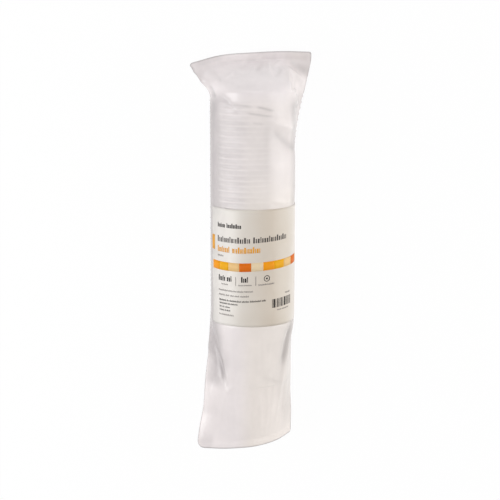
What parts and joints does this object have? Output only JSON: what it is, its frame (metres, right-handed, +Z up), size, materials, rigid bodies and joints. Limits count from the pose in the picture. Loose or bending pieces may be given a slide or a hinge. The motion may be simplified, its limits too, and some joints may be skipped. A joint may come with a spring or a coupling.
{
  "type": "sealed sleeve of nested specimen containers",
  "caption": "Sealed pillow sleeve of milky film with a wrap-round paper label, holding a nested stack of lidless screw-neck specimen containers.",
  "frame": {"origin": "centre of the whole part's footprint, on the table it lies on", "axes": "+Z up, +Y along the stack towards the containers' mouths and the top seal, +X to the right seen from above with +Y away"},
  "size_m": [0.09, 0.2996, 0.0635],
  "materials": {
    "film": "thin milky polyethylene film, glossy and slightly wrinkled",
    "label_paper": "smooth off-white label paper",
    "container_plastic": "frosted translucent polypropylene"
  },
  "bodies": {
    "root": {"film_sleeve": "film", "label": "label_paper", "container_01": "container_plastic", "container_02": "container_plastic", "container_03": "container_plastic", "container_04": "container_plastic", "container_05": "container_plastic", "container_06": "container_plastic", "container_07": "container_plastic", "container_08": "container_plastic", "container_09": "container_plastic", "container_10": "container_plastic", "container_11": "container_plastic", "container_12": "container_plastic", "container_13": "container_plastic", "container_14": "container_plastic", "container_15": "container_plastic", "container_16": "container_plastic", "container_17": "container_plastic", "container_18": "container_plastic", "container_19": "container_plastic", "container_20": "container_plastic"}
  },
  "joints": []
}
